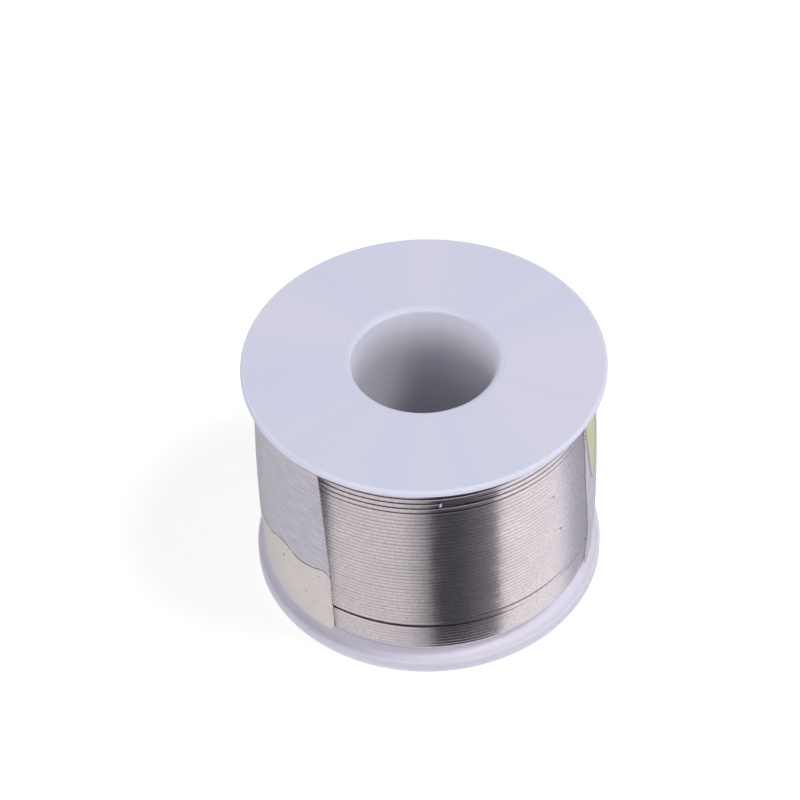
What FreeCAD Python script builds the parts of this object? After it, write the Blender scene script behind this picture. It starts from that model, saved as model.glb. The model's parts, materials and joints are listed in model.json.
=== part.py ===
"""A spool of solder wire: a moulded plastic reel, its close-wound wire and its two paper labels.

Units are millimetres. +Z runs up the spool's axis, and the origin is the centre of the face
that the spool stands on.
"""

import FreeCAD, Part
import math
import os

# The reel, which is a core tube with a flange pushed on at each end.
FLANGE_RADIUS = 29.0
SPOOL_HEIGHT = 42.6
BORE_RADIUS = 11.6
CORE_END_RADIUS = 13.05
CORE_RADIUS = 14.0
BORE_LIP = 0.9
TOP_FLANGE_THICKNESS = 1.2
BOTTOM_WEB_THICKNESS = 1.9
BOTTOM_RIM_THICKNESS = 2.4
RIM_WIDTH = 1.5
RIM_ROUNDING = 0.4

# The shallow steps in the outer faces that labels are stuck into.
LABEL_THICKNESS = 0.12
DISC_LABEL_RADIUS = 28.5
UNDERSIDE_STEP = 0.15
UNDERSIDE_STEP_RADIUS = 27.0

# The wound wire. The winding is widest at its lower third and rounds in towards both flanges.
WIRE_DIAMETER = 0.8
EVEN_LAYERS_RADIUS = 24.8
WINDING_FOOT = (25.0, BOTTOM_WEB_THICKNESS)
WINDING_LOW = (27.6, 5.5)
WINDING_WIDEST = (27.85, 14.0)
WINDING_HIGH = (26.95, 38.8)
WINDING_HEAD = (25.7, SPOOL_HEIGHT - TOP_FLANGE_THICKNESS)
GAP_HEIGHT = 10.4
GAP_DEPTH = 0.35

# The wire's cut end, which lies among the top turns. Angles are in degrees, anticlockwise seen
# from above, from the middle of the side that faces -Y.
TAIL_HEIGHT = 37.2
TAIL_END_ANGLE = 4.2
TAIL_SPAN = 14.0
TAIL_CLEARANCE = 0.03

# The label stuck round the winding, open at the front.
WRAP_FIRST_ANGLE = 68.0
WRAP_LAST_ANGLE = 324.0
WRAP_TOP = 38.6
WRAP_BOTTOM = 3.6
GLUE_THICKNESS = 0.05

# How many flat bands stand for each round stretch of an outline.
BARREL_BANDS = 2
SHOULDER_BANDS = 2
LIP_BANDS = 2

FRONT = -90.0
AXIS = FreeCAD.Vector(0, 0, 1)
ORIGIN = FreeCAD.Vector(0, 0, 0)


def at(place):
    """A point of a radial section, from its radius and height."""
    radius, height = place
    return FreeCAD.Vector(radius, 0, height)


def turned(outline, first_angle=0.0, last_angle=360.0):
    """The solid that a closed outline sweeps round the axis, between two angles."""
    points = [at(place) for place in outline]
    face = Part.Face(Part.makePolygon(points + points[:1]))
    solid = face.revolve(ORIGIN, AXIS, last_angle - first_angle)
    solid.rotate(ORIGIN, AXIS, FRONT + first_angle)
    return solid


def ring(inner, outer, bottom, top):
    """A plain ring of rectangular section."""
    return turned([(inner, bottom), (outer, bottom), (outer, top), (inner, top)])


def rounded(corner, before, after, rounding, bands=1):
    """The places that round off a corner, met going in direction before and left along after."""
    centre = [c - b * rounding + a * rounding for c, b, a in zip(corner, before, after)]
    places = []
    for step in range(bands + 1):
        turn = math.radians(90 * step / bands)
        places.append(
            tuple(
                middle + rounding * (b * math.sin(turn) - a * math.cos(turn))
                for middle, b, a in zip(centre, before, after)
            )
        )
    return places


OUTWARD, INWARD, UP, DOWN = (1, 0), (-1, 0), (0, 1), (0, -1)


def core_tube():
    """The tube the wire is wound on, stepped down at each end to seat a flange on a shoulder."""
    low_shoulder = BOTTOM_WEB_THICKNESS
    high_shoulder = SPOOL_HEIGHT - TOP_FLANGE_THICKNESS
    return turned(
        rounded((BORE_RADIUS, 0), DOWN, OUTWARD, BORE_LIP, LIP_BANDS)
        + [
            (CORE_END_RADIUS, 0),
            (CORE_END_RADIUS, low_shoulder),
            (CORE_RADIUS, low_shoulder),
            (CORE_RADIUS, high_shoulder),
            (CORE_END_RADIUS, high_shoulder),
            (CORE_END_RADIUS, SPOOL_HEIGHT),
        ]
        + rounded((BORE_RADIUS, SPOOL_HEIGHT), INWARD, DOWN, BORE_LIP, LIP_BANDS)
    )


def top_flange():
    """The thin upper disc, with a step in its outer face for the disc label."""
    underside = SPOOL_HEIGHT - TOP_FLANGE_THICKNESS
    step_floor = SPOOL_HEIGHT - LABEL_THICKNESS
    return turned(
        [(CORE_END_RADIUS, underside)]
        + rounded((FLANGE_RADIUS, underside), OUTWARD, UP, RIM_ROUNDING)
        + rounded((FLANGE_RADIUS, SPOOL_HEIGHT), UP, INWARD, RIM_ROUNDING)
        + [
            (DISC_LABEL_RADIUS, SPOOL_HEIGHT),
            (DISC_LABEL_RADIUS, step_floor),
            (CORE_END_RADIUS, step_floor),
        ]
    )


def bottom_flange():
    """The lower disc, with a raised rim round its inner face and a stepped underside."""
    rim_inside = FLANGE_RADIUS - RIM_WIDTH
    rim_foot = rim_inside - (BOTTOM_RIM_THICKNESS - BOTTOM_WEB_THICKNESS)
    return turned(
        [
            (CORE_END_RADIUS, UNDERSIDE_STEP),
            (UNDERSIDE_STEP_RADIUS, UNDERSIDE_STEP),
            (UNDERSIDE_STEP_RADIUS, 0),
        ]
        + rounded((FLANGE_RADIUS, 0), OUTWARD, UP, RIM_ROUNDING)
        + rounded((FLANGE_RADIUS, BOTTOM_RIM_THICKNESS), UP, INWARD, RIM_ROUNDING)
        + [
            (rim_inside, BOTTOM_RIM_THICKNESS),
            (rim_foot, BOTTOM_WEB_THICKNESS),
            (CORE_END_RADIUS, BOTTOM_WEB_THICKNESS),
        ]
    )


def top_disc_label():
    """The paper ring stuck in the top flange's step."""
    bottom = SPOOL_HEIGHT - LABEL_THICKNESS
    return ring(CORE_END_RADIUS, DISC_LABEL_RADIUS, bottom, SPOOL_HEIGHT)


def barrel():
    """The long arc down the winding's side."""
    return Part.Arc(at(WINDING_LOW), at(WINDING_WIDEST), at(WINDING_HIGH)).toShape()


def barrel_radius(height):
    """The winding's radius at a height on its long arc."""
    circle = barrel().Curve
    return circle.Center.x + math.sqrt(circle.Radius**2 - (height - circle.Center.z) ** 2)


def shoulder(start, end):
    """The arc that leaves the long arc smoothly at start and bends in to end."""
    outward = (at(start) - barrel().Curve.Center).normalize()
    chord = at(end) - at(start)
    # The arc's centre is on the normal at start, as far from start as from end.
    arc_radius = chord.Length**2 / (-2 * chord.dot(outward))
    centre = at(start) - outward * arc_radius
    halfway = (at(start) + at(end)) * 0.5 - centre
    return Part.Arc(at(start), centre + halfway.normalize() * arc_radius, at(end)).toShape()


def banded(arc, bands):
    """The places that cut an arc into bands of equal length, in order of height."""
    points = arc.discretize(Number=bands + 1)
    return sorted(((point.x, point.z) for point in points), key=lambda place: place[1])


def side_above_gap():
    """The outline of the winding's side from the gap up to the upper shoulder."""
    start = (barrel_radius(GAP_HEIGHT), GAP_HEIGHT + GAP_DEPTH)
    return banded(Part.Arc(at(start), at(WINDING_WIDEST), at(WINDING_HIGH)).toShape(), BARREL_BANDS)


def winding_side():
    """The winding's outline from the lower flange to the upper one, with the gap's groove."""
    low = banded(shoulder(WINDING_LOW, WINDING_FOOT), SHOULDER_BANDS)
    high = banded(shoulder(WINDING_HIGH, WINDING_HEAD), SHOULDER_BANDS)
    radius = barrel_radius(GAP_HEIGHT)
    gap = [(radius, GAP_HEIGHT - GAP_DEPTH), (radius - GAP_DEPTH, GAP_HEIGHT)]
    return low + gap + side_above_gap() + high[1:]


def inner_wire_layers():
    """The even layers of wire that fill the core from flange to flange, as one closed pack."""
    return ring(CORE_RADIUS, EVEN_LAYERS_RADIUS, WINDING_FOOT[1], WINDING_HEAD[1])


def outer_wire_layers():
    """The last layers, which bulge, with a gap between turns and a seat for the cut end."""
    inside = [(EVEN_LAYERS_RADIUS, WINDING_HEAD[1]), (EVEN_LAYERS_RADIUS, WINDING_FOOT[1])]
    seat_depth = (WIRE_DIAMETER / 2 + TAIL_CLEARANCE) * math.sqrt(2)
    radius = barrel_radius(TAIL_HEIGHT)
    seat = turned(
        [
            (radius - seat_depth, TAIL_HEIGHT),
            (radius + seat_depth, TAIL_HEIGHT - 2 * seat_depth),
            (radius + seat_depth, TAIL_HEIGHT + 2 * seat_depth),
        ],
        TAIL_END_ANGLE - TAIL_SPAN,
        TAIL_END_ANGLE,
    )
    return turned(winding_side() + inside).cut(seat)


def wire_tail():
    """The last stretch of the wire up to its cut end, half sunk in its seat."""
    radius = barrel_radius(TAIL_HEIGHT)
    middle = FreeCAD.Vector(0, 0, TAIL_HEIGHT)
    rod = Part.makeTorus(radius, WIRE_DIAMETER / 2, middle, AXIS, 0, 360, TAIL_SPAN)
    rod.rotate(ORIGIN, AXIS, FRONT + TAIL_END_ANGLE - TAIL_SPAN)
    return rod


def wrap_label():
    """The label round the winding. It follows the bulge and hangs straight past the shoulder."""
    side = [(WINDING_LOW[0], WRAP_BOTTOM), WINDING_LOW] + side_above_gap()[:-1]
    side.append((barrel_radius(WRAP_TOP), WRAP_TOP))
    inner = [(radius + GLUE_THICKNESS, height) for radius, height in side]
    outer = [(radius + LABEL_THICKNESS, height) for radius, height in inner]
    return turned(outer + inner[::-1], WRAP_FIRST_ANGLE, WRAP_LAST_ANGLE)


PIECES = (
    core_tube,
    top_flange,
    bottom_flange,
    top_disc_label,
    inner_wire_layers,
    outer_wire_layers,
    wire_tail,
    wrap_label,
)


os.makedirs("parts", exist_ok=True)
for piece in PIECES:
    piece().exportStep(os.path.join("parts", piece.__name__ + ".step"))
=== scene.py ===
"""The looks of the solder wire spool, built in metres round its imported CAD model."""

import json
import math
import random

import bpy
import numpy as np
from mathutils import Matrix, Vector


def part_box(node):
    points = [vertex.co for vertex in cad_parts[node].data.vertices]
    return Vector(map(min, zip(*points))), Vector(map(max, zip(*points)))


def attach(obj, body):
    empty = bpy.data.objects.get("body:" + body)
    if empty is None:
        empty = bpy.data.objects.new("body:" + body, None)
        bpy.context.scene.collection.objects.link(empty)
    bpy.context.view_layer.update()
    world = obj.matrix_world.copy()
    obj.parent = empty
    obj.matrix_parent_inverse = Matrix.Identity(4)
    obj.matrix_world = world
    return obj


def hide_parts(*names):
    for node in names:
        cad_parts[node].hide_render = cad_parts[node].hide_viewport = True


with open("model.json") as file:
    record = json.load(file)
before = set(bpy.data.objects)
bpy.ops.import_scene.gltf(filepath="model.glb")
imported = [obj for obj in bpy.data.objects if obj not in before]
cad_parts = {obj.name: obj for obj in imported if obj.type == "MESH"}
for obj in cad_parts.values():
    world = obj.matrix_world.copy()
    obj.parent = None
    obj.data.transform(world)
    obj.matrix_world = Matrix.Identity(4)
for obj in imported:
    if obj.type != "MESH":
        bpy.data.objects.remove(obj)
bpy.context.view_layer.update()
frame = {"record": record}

MM = 0.001


# ---------------------------------------------------------------- sizes, read from the frame

def mount_dims(name):
    return next(m["dims"] for m in frame["record"]["mounts"] if m["name"] == name)


FLANGE_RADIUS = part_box("bottom_flange")[1].x
RIM_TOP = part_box("bottom_flange")[1].z
SPOOL_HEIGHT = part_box("core_tube")[1].z
CORE_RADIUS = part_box("core_tube")[1].x
BORE_RADIUS = mount_dims("spindle_bore")["r_mm"] * MM
BORE_LIP = (SPOOL_HEIGHT - mount_dims("spindle_bore")["length_mm"] * MM) / 2
DISC_LABEL_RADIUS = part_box("top_disc_label")[1].x
LABEL_THICKNESS = SPOOL_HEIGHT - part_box("top_disc_label")[0].z
TOP_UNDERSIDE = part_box("top_flange")[0].z
WEB_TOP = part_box("outer_wire_layers")[0].z
WIDEST_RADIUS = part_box("outer_wire_layers")[1].y
WRAP_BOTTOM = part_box("wrap_label")[0].z
WRAP_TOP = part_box("wrap_label")[1].z
WIRE_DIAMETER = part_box("wire_tail")[1].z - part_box("wire_tail")[0].z
TAIL_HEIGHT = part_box("wire_tail")[0].z + WIRE_DIAMETER / 2

# The reel's smaller steps, which no box in the frame gives.
CORE_END_RADIUS = 13.05 * MM
RIM_ROUNDING = 0.4 * MM
RIM_WIDTH = 1.5 * MM
RIM_SLOPE_WIDTH = 2.3 * MM
RIM_CREST_ROUNDING = 2.5 * MM
UNDERSIDE_STEP = 0.15 * MM
UNDERSIDE_STEP_RADIUS = 27.0 * MM

# The winding's side: a long shallow barrel between two rounded shoulders.
WIDEST_HEIGHT = 14.0 * MM
LOW_SHOULDER_HEIGHT = 5.5 * MM
HIGH_SHOULDER_HEIGHT = 38.8 * MM
FALL_TO_LOW_SHOULDER = 0.25 * MM
FALL_TO_HIGH_SHOULDER = 0.9 * MM
LOW_SHOULDER_FALL = 2.3 * MM
HIGH_SHOULDER_FALL = 1.05 * MM

# The turns. Angles are in degrees, anticlockwise seen from above, from the side that faces -Y.
PITCH = 0.77 * MM
TOP_PITCH = 0.98 * MM
TOP_PITCH_TURNS = 2
FLATTENING = 0.8
GAP_HEIGHT = 10.4 * MM
GAP_EXTRA = 0.62 * MM
GAP_OPENS_FROM = 88.0
GAP_OPENS_TO = -56.0
TAIL_ANGLE = 5.6
TAIL_SPAN = 14.0
CUT_LENGTH = 0.9 * MM
PAST_CUT_END = 2.0
STRAY_SEED = 11
STRAY_ALONG = 0.018 * MM
STRAY_OFF = 0.016 * MM
UNDER_LAYER_DEPTH = 0.7 * MM
PACK_DEPTH = 1.2 * MM

# The turn over the gap stands proud between two ranges of angle, where it comes out and goes back.
PROUD_TURN_LIFT = 0.36 * MM
PROUD_TURN_OUT = (-6, 30)
PROUD_TURN_BACK = (38, 62)


# ---------------------------------------------------------------- mesh building

def mesh_object(name, points, faces, sharp_degrees):
    """A smooth-shaded mesh piece whose edges stay sharp where they turn by more than an angle."""
    mesh = bpy.data.meshes.new(name)
    mesh.from_pydata([tuple(point) for point in points], [], faces)
    mesh.polygons.foreach_set("use_smooth", [True] * len(mesh.polygons))
    mesh.set_sharp_from_angle(angle=math.radians(sharp_degrees))
    piece = bpy.data.objects.new(name, mesh)
    bpy.context.scene.collection.objects.link(piece)
    return piece


def grid_faces(rows, columns, rows_close, columns_close):
    """Quads over rows of points, each row holding columns points, joined up where they close."""
    faces = []
    for row in range(rows if rows_close else rows - 1):
        here = row * columns
        there = (row + 1) % rows * columns
        for column in range(columns if columns_close else columns - 1):
            beside = (column + 1) % columns
            faces.append((here + column, there + column, there + beside, here + beside))
    return faces


def round_corners(corners, steps=6):
    """An outline of (radius, height) places, from (radius, height, rounding) corners."""
    outline = []
    for index, (radius, height, rounding) in enumerate(corners):
        corner = Vector((radius, height))
        if rounding == 0:
            outline.append(corner)
            continue
        before = (Vector(corners[index - 1][:2]) - corner).normalized()
        after = (Vector(corners[(index + 1) % len(corners)][:2]) - corner).normalized()
        half_angle = before.angle(after) / 2
        start = corner + before * rounding / math.tan(half_angle)
        end = corner + after * rounding / math.tan(half_angle)
        centre = corner + (before + after).normalized() * rounding / math.sin(half_angle)
        for step in range(steps + 1):
            spoke = (start - centre).normalized().slerp((end - centre).normalized(), step / steps)
            outline.append(centre + spoke * rounding)
    return outline


def lathe(name, outline, segments=288):
    """A ring whose closed section is an outline of (radius, height) places, anticlockwise."""
    points = []
    for segment in range(segments):
        angle = 2 * math.pi * segment / segments
        for radius, height in outline:
            points.append((radius * math.cos(angle), radius * math.sin(angle), height))
    return mesh_object(name, points, grid_faces(segments, len(outline), True, True), sharp_degrees=32)


def smooth_step(value, low, high):
    share = np.clip((value - low) / (high - low), 0, 1)
    return share * share * (3 - 2 * share)


def ripple(angle, seed, waves):
    """An unevenness of about 1 that varies smoothly with an angle in degrees."""
    draw = random.Random(seed)
    total = np.zeros_like(angle)
    for wave in waves:
        total += np.sin(np.radians(angle) * wave + draw.uniform(0, 2 * math.pi))
    return total / math.sqrt(len(waves))


# ---------------------------------------------------------------- shader nodes

class Nodes:
    """A node tree, with short ways to add to it. A value is a number, a colour or a socket."""

    def __init__(self, tree):
        self.tree = tree

    def set(self, node, socket, value):
        if isinstance(value, bpy.types.NodeSocket):
            self.tree.links.new(value, node.inputs[socket])
        else:
            node.inputs[socket].default_value = value

    def add(self, kind, values, **settings):
        """A new node, with its settings, and its inputs set from a dict of socket to value."""
        node = self.tree.nodes.new(kind)
        for name, value in settings.items():
            setattr(node, name, value)
        for socket, value in values.items():
            self.set(node, socket, value)
        return node

    def object_place(self):
        return self.add("ShaderNodeTexCoord", {}).outputs["Object"]

    def math(self, operation, first, second=0.0):
        return self.add("ShaderNodeMath", {0: first, 1: second}, operation=operation).outputs[0]

    def parts(self, vector):
        return self.add("ShaderNodeSeparateXYZ", {0: vector}).outputs

    def scaled(self, vector, scale):
        return self.add("ShaderNodeVectorMath", {0: vector, 1: scale}, operation="MULTIPLY").outputs[0]

    def noise(self, vector, scale, detail=3.0, roughness=0.5):
        values = {"Vector": vector, "Scale": scale, "Detail": detail, "Roughness": roughness}
        return self.add("ShaderNodeTexNoise", values).outputs["Fac"]

    def spread(self, value, low, high, to_low=0.0, to_high=1.0, kind="SMOOTHSTEP"):
        """The value from low to high, mapped to to_low to to_high and held beyond them."""
        values = {0: value, 1: low, 2: high, 3: to_low, 4: to_high}
        return self.add("ShaderNodeMapRange", values, interpolation_type=kind).outputs[0]

    def mix(self, share, first, second):
        values = {0: share, 6: first, 7: second}
        return self.add("ShaderNodeMix", values, data_type="RGBA").outputs[2]

    def curve(self, value, places):
        """A smooth curve through (value, result) places, all of them from 0 to 1."""
        node = self.add("ShaderNodeFloatCurve", {"Value": value})
        line = node.mapping.curves[0]
        for point, place in zip(line.points, (places[0], places[-1])):
            point.location = place
        for place in places[1:-1]:
            line.points.new(*place)
        node.mapping.update()
        return node.outputs[0]

    def bump(self, height, distance, strength=1.0):
        values = {"Height": height, "Distance": distance, "Strength": strength}
        return self.add("ShaderNodeBump", values).outputs[0]


def material(name):
    """A new material's nodes, its shader, and the material."""
    made = bpy.data.materials.new(name)
    made.use_nodes = True
    return Nodes(made.node_tree), made.node_tree.nodes["Principled BSDF"], made


def colour(red, green, blue):
    """A shader colour from the 0 to 255 values of a screen colour."""
    shares = [value / 255 for value in (red, green, blue)]
    return tuple(s / 12.92 if s <= 0.04045 else ((s + 0.055) / 1.055) ** 2.4 for s in shares) + (1.0,)


def give(piece, finish, node):
    """Puts a finish on a piece, and the piece on the spool's only body in place of its CAD node."""
    piece.data.materials.append(finish)
    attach(piece, "root")
    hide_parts(node)


# ---------------------------------------------------------------- materials

# Painted light: the plastic glows by emission where light would come through it from outside. The glow is
# in a ring at the foot of the winding, which comes up and dies away over two ranges of radius, and in the
# bore, up to its upper lip.
FOOT_GLOW = 0.28
FOOT_GLOW_RISE = (23.5 * MM, 26.0 * MM)
FOOT_GLOW_FALL = (27.0 * MM, 29.3 * MM)
BORE_GLOW = 0.14
BORE_GLOW_DEPTH = 11 * MM
BORE_GLOW_FULL_DEPTH = 3 * MM


def milky_plastic():
    """Moulded plastic, faintly clouded and scuffed, that lets light in a few millimetres.

    Its upper end is a shade bluer and lighter, partly the disc label's tone and partly painted light on the
    rim and at the top of the bore. There it lets none in, so that it meets the disc label without a dark
    line.
    """
    nodes, shader, made = material("milky_plastic")
    place = nodes.object_place()
    height = nodes.parts(place)[2]
    from_axis = nodes.add("ShaderNodeVectorMath", {0: nodes.scaled(place, (1, 1, 0))}, operation="LENGTH")
    radius = from_axis.outputs["Value"]
    cloud = nodes.noise(place, 90.0, 4.0)
    scuff = nodes.noise(place, 700.0, 3.0)
    flange_tone = nodes.mix(cloud, colour(198, 197, 212), colour(208, 206, 218))
    tone = nodes.mix(nodes.spread(radius, CORE_END_RADIUS, CORE_RADIUS), colour(204, 203, 212), flange_tone)
    # Painted light in part: the upper end gets a lighter tone, which lightens the rim and the top of the
    # bore.
    below_top = nodes.spread(height, SPOOL_HEIGHT - 6 * MM, SPOOL_HEIGHT - 0.5 * MM, 1.0, 0.0)
    tone = nodes.mix(below_top, colour(219, 221, 241), tone)

    past_foot = nodes.spread(radius, *FOOT_GLOW_RISE)
    to_rim = nodes.spread(radius, *FOOT_GLOW_FALL, FOOT_GLOW, 0.0)
    foot_glow = nodes.math("MULTIPLY", past_foot, to_rim)
    in_bore = nodes.spread(radius, BORE_RADIUS + 0.05 * MM, BORE_RADIUS + 0.4 * MM, 1.0, 0.0)
    deepest = SPOOL_HEIGHT - BORE_GLOW_DEPTH
    to_lip = nodes.spread(height, deepest, SPOOL_HEIGHT - BORE_GLOW_FULL_DEPTH, 0.0, BORE_GLOW)
    bore_glow = nodes.math("MULTIPLY", in_bore, to_lip)

    nodes.set(shader, "Base Color", tone)
    nodes.set(shader, "Roughness", nodes.spread(scuff, 0.3, 0.7, 0.30, 0.46))
    nodes.set(shader, "Normal", nodes.bump(scuff, 0.02 * MM))
    nodes.set(shader, "Subsurface Weight", nodes.math("MULTIPLY", below_top, 0.8))
    nodes.set(shader, "Subsurface Scale", 3.0 * MM)
    nodes.set(shader, "Subsurface Radius", (1.0, 0.95, 1.1))
    nodes.set(shader, "IOR", 1.49)
    # Painted light: an emission glow that lightens the shade at the winding's foot and in the bore.
    nodes.set(shader, "Emission Color", colour(250, 245, 252))
    nodes.set(shader, "Emission Strength", nodes.math("ADD", foot_glow, bore_glow))
    return made


def disc_paper():
    """Smooth coated paper, with faint cloudy wedges that spread from the middle of the disc: a painted
    sheen that stands for the fan-shaped reflection off fine circular grooves.
    """
    nodes, shader, made = material("disc_paper")
    place = nodes.object_place()
    outward = nodes.scaled(place, (1, 1, 0))
    direction = nodes.add("ShaderNodeVectorMath", {0: outward}, operation="NORMALIZE")
    # Painted sheen: the wedges stand for a fan-shaped reflection, painted into the paper's tone.
    painted_sheen_wedge = nodes.noise(direction.outputs[0], 1.6, 2.5, 0.55)
    fibre = nodes.noise(place, 2600.0, 3.0)
    tone = nodes.mix(nodes.spread(painted_sheen_wedge, 0.3, 0.7), colour(215, 219, 241), colour(224, 223, 240))
    nodes.set(shader, "Base Color", tone)
    nodes.set(shader, "Roughness", nodes.spread(fibre, 0.3, 0.7, 0.48, 0.60))
    nodes.set(shader, "Normal", nodes.bump(fibre, 0.006 * MM))
    return made


def bright_solder():
    """Drawn solder, bright with duller patches, and grained finely along its length."""
    nodes, shader, made = material("bright_solder")
    place = nodes.object_place()
    dull = nodes.noise(place, 160.0, 5.0, 0.6)
    grain = nodes.noise(place, 2200.0, 2.0)
    tone = nodes.mix(nodes.spread(dull, 0.35, 0.7), colour(236, 229, 231), colour(228, 222, 226))
    tone = nodes.mix(nodes.spread(grain, 0.35, 0.65), colour(222, 216, 219), tone)
    nodes.set(shader, "Base Color", tone)
    nodes.set(shader, "Metallic", 1.0)
    nodes.set(shader, "Roughness", nodes.spread(dull, 0.3, 0.75, 0.13, 0.20))
    nodes.set(shader, "Normal", nodes.bump(grain, 0.01 * MM, 0.4))
    return made


def painted_shade_solder():
    """The solder of the layers under the turns that show, painted dark as shade, since it shows only in the
    shaded gaps.
    """
    nodes, shader, made = material("painted_shade_solder")
    dull = nodes.noise(nodes.object_place(), 300.0, 4.0)
    # Painted shade: the dark base colour stands for the shade in the gaps between the turns.
    nodes.set(shader, "Base Color", nodes.mix(dull, colour(120, 116, 116), colour(160, 156, 156)))
    nodes.set(shader, "Metallic", 1.0)
    nodes.set(shader, "Roughness", nodes.spread(dull, 0.3, 0.7, 0.40, 0.55))
    return made


# The wrap's printing. Places are shares of a full turn and of the spool's height.
FIELD_BORDER = [
    (0.0, 0.0),
    (0.24, 0.0),
    (0.33, 0.38),
    (0.50, 0.36),
    (0.67, 0.38),
    (0.806, 0.362),
    (0.844, 0.414),
    (0.864, 0.394),
    (0.883, 0.404),
    (0.897, 0.420),
    (0.904, 0.396),
    (1.0, 0.38),
]
LEAF_POINT = 0.535
LEAF_TOP = 0.892
LEAF_MIDDLE = 0.2055
LEAF_HALF_WIDTH = 0.022


def wrap_paper():
    """The printed wrap: a lavender field over a cream one, and an olive leaf at its right end.

    The map "paper" gives the angle round the spool and the height, as shares of a full turn and
    of the spool's height.
    """
    nodes, shader, made = material("wrap_paper")
    place = nodes.object_place()
    paper = nodes.add("ShaderNodeUVMap", {}, uv_map="paper").outputs[0]
    turn_share, height_share, _ = nodes.parts(paper)
    streak = nodes.noise(nodes.scaled(paper, (60, 150, 1)), 1.0, 3.0, 0.6)
    lavender = nodes.mix(nodes.spread(streak, 0.3, 0.7), colour(180, 176, 187), colour(204, 200, 210))
    cloud = nodes.noise(place, 130.0, 3.0)
    speck = nodes.spread(nodes.noise(place, 950.0, 1.0), 0.72, 0.76)
    cream = nodes.mix(cloud, colour(208, 201, 199), colour(220, 213, 211))
    cream = nodes.mix(speck, cream, colour(150, 140, 134))

    above = nodes.math("SUBTRACT", height_share, nodes.curve(turn_share, FIELD_BORDER))
    tone = nodes.mix(nodes.spread(above, -0.002, 0.002), cream, lavender)
    on_border = nodes.spread(nodes.math("ABSOLUTE", above), 0.001, 0.005, 1.0, 0.0)
    tone = nodes.mix(on_border, tone, colour(122, 112, 116))

    up_leaf = nodes.spread(height_share, LEAF_POINT, LEAF_TOP, kind="LINEAR")
    half_width = nodes.math("MULTIPLY", nodes.math("POWER", up_leaf, 0.42), LEAF_HALF_WIDTH)
    off_middle = nodes.math("ABSOLUTE", nodes.math("SUBTRACT", turn_share, LEAF_MIDDLE))
    inside = nodes.math("SUBTRACT", half_width, off_middle)
    tone = nodes.mix(nodes.spread(inside, 0.0, 0.0005), tone, colour(138, 133, 156))
    tone = nodes.mix(nodes.spread(inside, 0.0026, 0.0032), tone, colour(203, 202, 166))

    nodes.set(shader, "Base Color", tone)
    nodes.set(shader, "Roughness", nodes.spread(streak, 0.3, 0.7, 0.34, 0.50))
    nodes.set(shader, "Normal", nodes.bump(streak, 0.02 * MM, 0.6))
    return made


# ---------------------------------------------------------------- the reel

def core_tube():
    """The tube with its soft lips, stepped down at each end to seat a flange."""
    corners = [
        (BORE_RADIUS, 0, BORE_LIP),
        (CORE_END_RADIUS, 0, 0),
        (CORE_END_RADIUS, WEB_TOP, 0),
        (CORE_RADIUS, WEB_TOP, 0),
        (CORE_RADIUS, TOP_UNDERSIDE, 0),
        (CORE_END_RADIUS, TOP_UNDERSIDE, 0),
        (CORE_END_RADIUS, SPOOL_HEIGHT, 0),
        (BORE_RADIUS, SPOOL_HEIGHT, BORE_LIP),
    ]
    return lathe("reel_core_tube", round_corners(corners, 8))


def top_flange():
    """The thin upper disc, with a step in its outer face that the disc label fills."""
    step_floor = SPOOL_HEIGHT - LABEL_THICKNESS
    corners = [
        (CORE_END_RADIUS, TOP_UNDERSIDE, 0),
        (FLANGE_RADIUS, TOP_UNDERSIDE, RIM_ROUNDING),
        (FLANGE_RADIUS, SPOOL_HEIGHT, RIM_ROUNDING),
        (DISC_LABEL_RADIUS, SPOOL_HEIGHT, 0),
        (DISC_LABEL_RADIUS, step_floor, 0),
        (CORE_END_RADIUS, step_floor, 0),
    ]
    return lathe("reel_top_flange", round_corners(corners))


def bottom_flange():
    """The lower disc. Its inner face rises gently from the foot of the winding to a low rim."""
    rim_inside = FLANGE_RADIUS - RIM_WIDTH
    rim_foot = rim_inside - RIM_SLOPE_WIDTH
    corners = [
        (CORE_END_RADIUS, UNDERSIDE_STEP, 0),
        (UNDERSIDE_STEP_RADIUS, UNDERSIDE_STEP, 0),
        (UNDERSIDE_STEP_RADIUS, 0, 0.06 * MM),
        (FLANGE_RADIUS, 0, RIM_ROUNDING),
        (FLANGE_RADIUS, RIM_TOP, RIM_ROUNDING),
        (rim_inside, RIM_TOP, RIM_CREST_ROUNDING),
        (rim_foot, WEB_TOP, 0),
        (CORE_END_RADIUS, WEB_TOP, 0),
    ]
    return lathe("reel_bottom_flange", round_corners(corners))


def disc_label():
    """The paper ring, with a hair of clearance at its inner and outer edges."""
    inside = CORE_END_RADIUS + 0.01 * MM
    outside = DISC_LABEL_RADIUS - 0.01 * MM
    underside = SPOOL_HEIGHT - LABEL_THICKNESS
    outline = [(inside, underside), (outside, underside), (outside, SPOOL_HEIGHT), (inside, SPOOL_HEIGHT)]
    return lathe("disc_label", outline)


# ---------------------------------------------------------------- the wound wire

def winding_radius(height):
    """The radius over the turns at a height."""
    if height >= WIDEST_HEIGHT:
        share = (height - WIDEST_HEIGHT) / (HIGH_SHOULDER_HEIGHT - WIDEST_HEIGHT)
        fall = FALL_TO_HIGH_SHOULDER * share**2
    else:
        share = (WIDEST_HEIGHT - height) / (WIDEST_HEIGHT - LOW_SHOULDER_HEIGHT)
        fall = FALL_TO_LOW_SHOULDER * share**2
    past_low = max(0.0, (LOW_SHOULDER_HEIGHT - height) / (LOW_SHOULDER_HEIGHT - WEB_TOP))
    past_high = max(0.0, (height - HIGH_SHOULDER_HEIGHT) / (TOP_UNDERSIDE - HIGH_SHOULDER_HEIGHT))
    return WIDEST_RADIUS - fall - LOW_SHOULDER_FALL * past_low**2 - HIGH_SHOULDER_FALL * past_high**2


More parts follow.
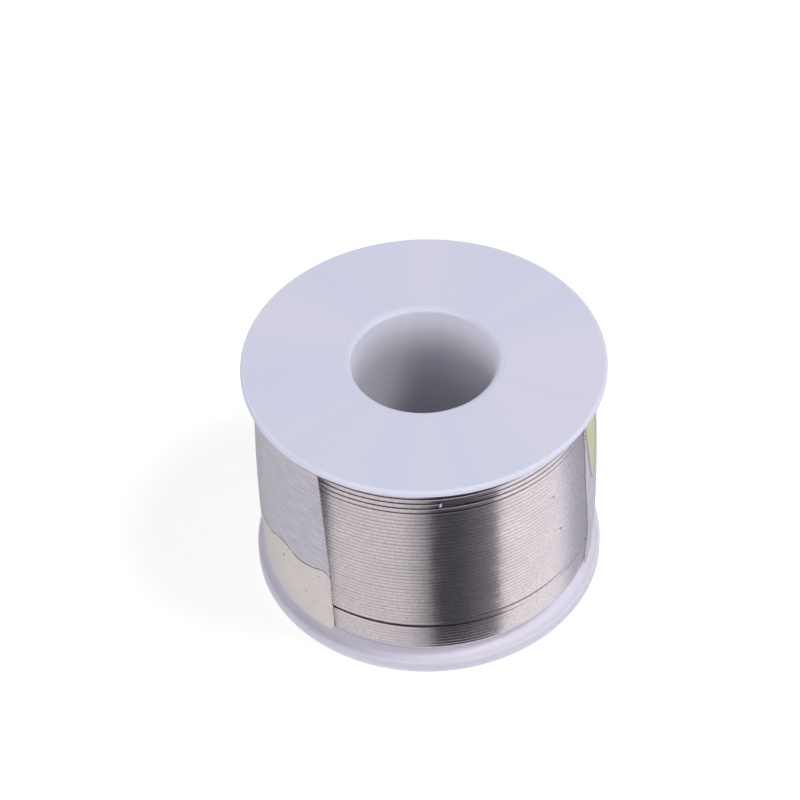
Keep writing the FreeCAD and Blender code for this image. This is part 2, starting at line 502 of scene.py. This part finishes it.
# The line up the winding's side that the middles of the turns lie on, and the distance along it.
SIDE_HEIGHTS = np.linspace(WEB_TOP + WIRE_DIAMETER / 2, TOP_UNDERSIDE - WIRE_DIAMETER / 2, 400)
SIDE_RADII = np.array([winding_radius(height) for height in SIDE_HEIGHTS]) - WIRE_DIAMETER / 2
SIDE_DISTANCES = np.concatenate([[0], np.cumsum(np.hypot(np.diff(SIDE_HEIGHTS), np.diff(SIDE_RADII)))])
SIDE_LENGTH = SIDE_DISTANCES[-1]


def distance_at(height):
    return float(np.interp(height, SIDE_HEIGHTS, SIDE_DISTANCES))


def wire(name, angles, distances, lift, sides=12, cut=None):
    """A wire along the winding's side, from its angle, its distance up the side and its lift off
    the side at each point. Its section is a little squarer than round, and as tall as the pitch,
    where the turns press on each other. cut is how far out it may reach at each point."""
    turned = np.radians(angles)
    outward = np.stack([np.sin(turned), -np.cos(turned), np.zeros_like(turned)], axis=1)
    centres = outward * (np.interp(distances, SIDE_DISTANCES, SIDE_RADII) + lift)[:, None]
    centres[:, 2] = np.interp(distances, SIDE_DISTANCES, SIDE_HEIGHTS)
    rings = []
    for side in range(sides):
        spoke = 2 * math.pi * (side + 0.5) / sides
        out = math.copysign(abs(math.cos(spoke)) ** FLATTENING, math.cos(spoke)) * WIRE_DIAMETER / 2
        rise = math.copysign(abs(math.sin(spoke)) ** FLATTENING, math.sin(spoke)) * PITCH / 2
        reach = np.minimum(out, cut) if cut is not None else np.full_like(turned, out)
        ring = centres + outward * reach[:, None]
        ring[:, 2] += rise
        rings.append(ring)
    points = np.stack(rings, axis=1).reshape(-1, 3)
    faces = grid_faces(len(turned), sides, False, True)
    last = len(points) - sides
    faces.append(tuple(range(sides)))
    faces.append(tuple(last + side for side in reversed(range(sides))))
    return mesh_object(name, points, faces, sharp_degrees=60)


def run_of_angles(start, end, segments_per_turn=144):
    return np.linspace(start, end, int(abs(end - start) / 360 * segments_per_turn) + 2)


def unevenness(angles):
    """How far the turns stray up the side and off it, which changes slowly along the wire."""
    along = STRAY_ALONG * ripple(angles, STRAY_SEED, (0.31, 0.83, 2.2, 5.3))
    off = STRAY_OFF * ripple(angles, STRAY_SEED + 1, (0.47, 1.3, 3.1, 7.9, 14.3))
    return along, off


def sunk_at_ends(angles, at_start, at_end, depth=0.4 * MM, span=16):
    """A lift that lets an end of the wire dip under its neighbours."""
    start = 1 - smooth_step(angles, angles[0], angles[0] + span)
    end = smooth_step(angles, angles[-1] - span, angles[-1])
    return -depth * (start * at_start + end * at_end)


# Small nicks that stand up from the turns, as angle and height in mm. Their half width is in degrees.
NICKS = ((45, 29.9), (48.5, 21.8))
NICK_HEIGHT = 0.13 * MM
NICK_HALF_WIDTH = 0.9

# Turns are counted from the cut end, so those below it are negative.
TAIL_DISTANCE = distance_at(TAIL_HEIGHT)
COARSER = TOP_PITCH - PITCH
GAP_TURN = math.ceil((distance_at(GAP_HEIGHT) - TAIL_DISTANCE + COARSER * TOP_PITCH_TURNS) / PITCH)
LOWEST_TURN = -(TAIL_DISTANCE - COARSER * TOP_PITCH_TURNS - GAP_EXTRA) / PITCH
HIGHEST_TURN = (SIDE_LENGTH - TAIL_DISTANCE) / TOP_PITCH
TURN_TABLE = np.linspace(LOWEST_TURN, HIGHEST_TURN, 2000)


def turn_distances(turns):
    """How far up the side the wire is after a number of turns.

    The gap below one turn opens while the wire is under the wrap, so that it is as wide all along
    the front.
    """
    front = GAP_TURN - TAIL_ANGLE / 360
    below_gap = 1 - smooth_step(turns, front - 1 + GAP_OPENS_FROM / 360, front + GAP_OPENS_TO / 360)
    even = TAIL_DISTANCE + PITCH * turns
    coarse_at_top = COARSER * np.maximum(turns, -TOP_PITCH_TURNS)
    return even + coarse_at_top - GAP_EXTRA * below_gap


def nick_angles():
    """Where the nicks are along the wire, in degrees from the cut end."""
    table = turn_distances(TURN_TABLE)
    for angle, height in NICKS:
        turn = round(np.interp(distance_at(height * MM), table, TURN_TABLE) - angle / 360)
        yield 360 * turn + angle - TAIL_ANGLE


def main_turns():
    """The wire from the lower flange up to where its last stretch begins. The turn over the gap
    stands a little proud towards the right."""
    nicks = list(nick_angles())
    angles = run_of_angles(360 * LOWEST_TURN, -TAIL_SPAN)
    for nick in nicks:
        angles = np.union1d(angles, nick + np.linspace(-2, 2, 17))
    to_right = angles - (360 * GAP_TURN - TAIL_ANGLE)
    proud = smooth_step(to_right, *PROUD_TURN_OUT) * (1 - smooth_step(to_right, *PROUD_TURN_BACK))
    along, off = unevenness(angles)
    lift = off + PROUD_TURN_LIFT * proud + sunk_at_ends(angles, 1, 0)
    for nick in nicks:
        lift = lift + NICK_HEIGHT * np.exp(-(((angles - nick) / NICK_HALF_WIDTH) ** 2))
    return wire("wire_turns", angles + TAIL_ANGLE, turn_distances(angles / 360) + along, lift)


def tail():
    """The wire's last stretch. The nippers left its end cut slantwise, facing out to the right."""
    angles = run_of_angles(-TAIL_SPAN, 0, 1440)
    along, off = unevenness(angles)
    from_tip = -np.radians(angles) * WIDEST_RADIUS
    cut = WIRE_DIAMETER * (from_tip / CUT_LENGTH - 0.5)
    return wire("wire_tail_end", angles + TAIL_ANGLE, turn_distances(angles / 360) + along, off, 24, cut)


def top_turns():
    """The turns between the cut end and the upper flange, which come up from the layer below."""
    angles = run_of_angles(PAST_CUT_END, 360 * HIGHEST_TURN)
    along, off = unevenness(angles)
    lift = off + sunk_at_ends(angles, 1, 1)
    return wire("wire_top_turns", angles + TAIL_ANGLE, turn_distances(angles / 360) + along, lift)


def under_layer():
    """The layer below, wound the other way, which shows in the gaps."""
    turns = SIDE_LENGTH / PITCH
    angles = run_of_angles(0, -360 * turns, 96)
    lift = np.full_like(angles, -UNDER_LAYER_DEPTH)
    return wire("wire_under_layer", angles, -PITCH * angles / 360, lift, 8)


def pack_of_layers():
    """The layers below that, as one solid pack from the core out."""
    heights = np.linspace(WEB_TOP, TOP_UNDERSIDE, 24)
    side = [(winding_radius(height) - PACK_DEPTH, height) for height in heights]
    return lathe("wire_pack", [(CORE_RADIUS, TOP_UNDERSIDE), (CORE_RADIUS, WEB_TOP)] + side)


# ---------------------------------------------------------------- the wrap label

WRAP_ROWS = 260
WRAP_COLUMNS = 150
TOP_CORNER = 0.5 * MM
BOTTOM_CORNER = 1.6 * MM
PRESSED_WIDTH = 1.6 * MM
PRESSED_DEPTH = 0.11 * MM
GLUE_THICKNESS = 0.05 * MM
RIDGE_HEIGHT = 0.03 * MM
END_RIDGE_HEIGHT = 0.07 * MM


# The ends of the wrap, in degrees. The right one bows back about a height, and the left one leans
# back above a height.
RIGHT_END = 66.0
RIGHT_BOW = 3.6
RIGHT_BOW_HEIGHT = 11 * MM
RIGHT_BOW_REACH = 9 * MM
LEFT_END = 325.3
LEFT_LEAN = 3.6
LEFT_LEAN_HEIGHT = 15 * MM
LEFT_LEAN_REACH = 23 * MM


def wrap_edges(height):
    """The angles of the wrap's right and left ends at a height."""
    right = RIGHT_END + RIGHT_BOW * math.exp(-(((height - RIGHT_BOW_HEIGHT) / RIGHT_BOW_REACH) ** 2))
    left = LEFT_END - LEFT_LEAN * max(0.0, (height - LEFT_LEAN_HEIGHT) / LEFT_LEAN_REACH) ** 1.6
    inset = 0.0
    for to_edge, corner in ((height - WRAP_BOTTOM, BOTTOM_CORNER), (WRAP_TOP - height, TOP_CORNER)):
        past = corner - to_edge
        if past > 0:
            inset = corner - math.sqrt(max(0.0, corner**2 - past**2))
    inset_angle = math.degrees(inset / WIDEST_RADIUS)
    return right + inset_angle, left - inset_angle


def wrap_row(height):
    """Angles and inner radii along the wrap at a height.

    The paper shows the turns under it as faint ridges, and it is pressed down along its two ends.
    Past the low shoulder it hangs straight.
    """
    right, left = wrap_edges(height)
    angles = np.linspace(right, left, WRAP_COLUMNS)
    to_end = np.radians(np.minimum(angles - right, left - angles)) * WIDEST_RADIUS
    pressed = 1 - smooth_step(to_end, 0.0, PRESSED_WIDTH)
    held = smooth_step(height, LOW_SHOULDER_HEIGHT - 1 * MM, LOW_SHOULDER_HEIGHT + 2 * MM)
    turns_up = np.interp(distance_at(height), turn_distances(TURN_TABLE), TURN_TABLE)
    turn = turns_up - (angles - TAIL_ANGLE) / 360
    ridge = (RIDGE_HEIGHT + END_RIDGE_HEIGHT * pressed) * held * np.cos(2 * math.pi * turn)
    glue = GLUE_THICKNESS - PRESSED_DEPTH * pressed * held
    return angles, winding_radius(max(height, LOW_SHOULDER_HEIGHT)) + glue + ridge


def wrap_label():
    inner = []
    outer = []
    places = []
    for height in np.linspace(WRAP_BOTTOM, WRAP_TOP, WRAP_ROWS):
        for angle, radius in zip(*wrap_row(height)):
            turned = math.radians(angle)
            for skin, out in ((inner, radius), (outer, radius + LABEL_THICKNESS)):
                skin.append((out * math.sin(turned), -out * math.cos(turned), height))
            places.append((angle / 360, height / SPOOL_HEIGHT))
    count = len(outer)
    front = grid_faces(WRAP_ROWS, WRAP_COLUMNS, False, False)
    faces = [tuple(reversed(face)) for face in front]
    faces += [tuple(point + count for point in face) for face in front]
    rim = [row * WRAP_COLUMNS for row in range(WRAP_ROWS)]
    rim += [(WRAP_ROWS - 1) * WRAP_COLUMNS + column for column in range(1, WRAP_COLUMNS)]
    rim += [row * WRAP_COLUMNS + WRAP_COLUMNS - 1 for row in reversed(range(WRAP_ROWS - 1))]
    rim += [column for column in reversed(range(1, WRAP_COLUMNS - 1))]
    for here, there in zip(rim, rim[1:] + rim[:1]):
        faces.append((here, there, there + count, here + count))
    piece = mesh_object("wrap_label_paper", inner + outer, faces, sharp_degrees=40)
    layer = piece.data.uv_layers.new(name="paper")
    doubled = places + places
    for loop in piece.data.loops:
        layer.data[loop.index].uv = doubled[loop.vertex_index]
    return piece


# ---------------------------------------------------------------- the studio

CAMERA_ELEVATION = 46.02
CAMERA_DISTANCE = 0.384
CAMERA_ROLL = 1.687
CAMERA_TILT = -1.301
CAMERA_PAN = -0.607
CAMERA_LENS = 105.19
FLOOR = -0.05 * MM
FLOOR_SIZE = 6.0
FLOOR_GLOW = 0.82
LIGHT_DISTANCE = 2.0


def way_to_camera():
    elevation = math.radians(CAMERA_ELEVATION)
    return Vector((0, -math.cos(elevation), math.sin(elevation)))


def camera():
    """The camera, looking down at the front, with the spool right of and below the picture's middle."""
    back = way_to_camera()
    right = Vector((1, 0, 0))
    level = Matrix((right, back.cross(right), back))
    aim = (
        Matrix.Rotation(math.radians(CAMERA_ROLL), 3, "Z")
        @ Matrix.Rotation(math.radians(CAMERA_TILT), 3, "X")
        @ Matrix.Rotation(math.radians(CAMERA_PAN), 3, "Y")
        @ level
    )
    made = bpy.data.objects.new("camera", bpy.data.cameras.new("camera"))
    bpy.context.scene.collection.objects.link(made)
    made.data.lens = CAMERA_LENS
    made.data.clip_start = 0.01
    middle = Vector((0, 0, SPOOL_HEIGHT / 2))
    made.matrix_world = Matrix.Translation(middle + back * CAMERA_DISTANCE) @ aim.transposed().to_4x4()
    bpy.context.scene.camera = made


def floor():
    """A plain white floor, lit from inside like a light table except under the core tube. Gloss
    doesn't see it, so the metal reflects only the studio's walls."""
    nodes, shader, finish = material("floor")
    place = nodes.object_place()
    from_axis = nodes.add("ShaderNodeVectorMath", {0: place}, operation="LENGTH").outputs["Value"]
    nodes.set(shader, "Base Color", colour(150, 150, 150))
    nodes.set(shader, "Emission Color", colour(255, 255, 255))
    lit = nodes.spread(from_axis, CORE_RADIUS, CORE_RADIUS + 1 * MM, 0.0, FLOOR_GLOW, "LINEAR")
    nodes.set(shader, "Emission Strength", lit)
    nodes.set(shader, "Roughness", 0.9)
    nodes.set(shader, "Specular IOR Level", 0.0)
    half = FLOOR_SIZE / 2
    points = [(x, y, FLOOR) for x, y in ((-half, -half), (half, -half), (half, half), (-half, half))]
    piece = mesh_object("floor", points, [(0, 1, 2, 3)], sharp_degrees=30)
    piece.data.materials.append(finish)
    piece.visible_glossy = False


def area_light(name, azimuth, elevation, size, power, tint):
    """A soft square light that points at the spool, at an angle round it and above the floor."""
    light = bpy.data.lights.new(name, "AREA")
    light.shape = "SQUARE"
    light.size = size
    light.energy = power
    light.color = tint
    made = bpy.data.objects.new(name, light)
    bpy.context.scene.collection.objects.link(made)
    around = math.radians(azimuth)
    up = math.radians(elevation)
    direction = Vector((math.sin(around) * math.cos(up), -math.cos(around) * math.cos(up), math.sin(up)))
    made.location = direction * LIGHT_DISTANCE
    made.rotation_euler = direction.to_track_quat("Z", "Y").to_euler()
    made.visible_glossy = False


# How bright the metal looks, by how many degrees to the right of the front it faces: the
# reflections of two tall soft boxes with a dark opening between them.
FACING_BRIGHTNESS = (
    (-90, 0.30),
    (-50, 0.30),
    (-43, 0.06),
    (-37, 0.10),
    (-33, 0.74),
    (-11, 0.72),
    (-6, 0.56),
    (0.0, 0.25),
    (2.2, 0.05),
    (11, 0.07),
    (15, 0.12),
    (19, 0.16),
    (23, 0.26),
    (26.8, 1.00),
    (45, 1.00),
    (54, 0.70),
    (62, 0.50),
    (90, 0.32),
)
BOX_LIGHT = (1.0, 0.97, 0.98, 1.0)
COOLER_BOX_LIGHT = (0.98, 0.99, 1.08, 1.0)
OPENING_LIGHT = (0.02, 0.02, 0.035, 1.0)
SKY_LIGHT = (0.30, 0.30, 0.30, 1.0)
EVEN_LIGHT = (0.22, 0.22, 0.23, 1.0)
BACKDROP = (0.9, 0.9, 0.9, 1.0)


def studio_walls():
    """The world: a pale backdrop, even white light on everything, and for gloss the soft boxes.

    A shiny face seen from the camera faces halfway between the camera and what it reflects. The
    boxes are bent so that their brightness depends on the angle of that halfway direction, and
    so stays the same from the top to the bottom of the winding. It is dimmer for faces that look
    down, and fades to an even sky for faces that look up.
    """
    world = bpy.data.worlds.new("studio")
    world.use_nodes = True
    bpy.context.scene.world = world
    nodes = Nodes(world.node_tree)
    seen_way = nodes.add("ShaderNodeTexCoord", {}).outputs["Generated"]
    halfway = nodes.add("ShaderNodeVectorMath", {0: seen_way, 1: way_to_camera()}, operation="ADD")
    facing = nodes.add("ShaderNodeVectorMath", {0: halfway.outputs[0]}, operation="NORMALIZE")
    across, along, up = nodes.parts(facing.outputs[0])
    angle = nodes.math("ARCTAN2", across, nodes.math("MULTIPLY", along, -1.0))
    share = nodes.spread(angle, -math.pi / 2, math.pi / 2, kind="LINEAR")
    walls = nodes.curve(share, [((degrees + 90) / 180, shine) for degrees, shine in FACING_BRIGHTNESS])
    undersides = nodes.spread(up, -0.6, 0.3, 0.5, 1.0)
    walls = nodes.math("MULTIPLY", walls, undersides)
    upward = nodes.spread(up, 0.85, 0.97)
    cool = nodes.spread(angle, math.radians(42), math.radians(56))
    box_light = nodes.mix(cool, BOX_LIGHT, COOLER_BOX_LIGHT)
    for_gloss = nodes.mix(upward, nodes.mix(walls, OPENING_LIGHT, box_light), SKY_LIGHT)
    rays = nodes.add("ShaderNodeLightPath", {}).outputs
    for_others = nodes.mix(rays["Is Camera Ray"], EVEN_LIGHT, BACKDROP)
    background = world.node_tree.nodes["Background"]
    nodes.set(background, "Color", nodes.mix(rays["Is Glossy Ray"], for_others, for_gloss))
    nodes.set(background, "Strength", 1.0)


def studio():
    camera()
    floor()
    studio_walls()
    area_light("key_light", 78, 58, size=0.6, power=26.2, tint=(1.0, 0.99, 0.98))
    area_light("fill_light", -44, 24, size=1.2, power=13.5, tint=(1.0, 0.98, 0.98))
    bpy.context.scene.view_settings.view_transform = "Standard"


# ---------------------------------------------------------------- putting it together

plastic = milky_plastic()
solder = bright_solder()
shaded_solder = painted_shade_solder()

give(core_tube(), plastic, "core_tube")
give(top_flange(), plastic, "top_flange")
give(bottom_flange(), plastic, "bottom_flange")
give(disc_label(), disc_paper(), "top_disc_label")
give(main_turns(), solder, "outer_wire_layers")
give(top_turns(), solder, "outer_wire_layers")
give(tail(), solder, "wire_tail")
give(under_layer(), shaded_solder, "inner_wire_layers")
give(pack_of_layers(), shaded_solder, "inner_wire_layers")
give(wrap_label(), wrap_paper(), "wrap_label")
studio()
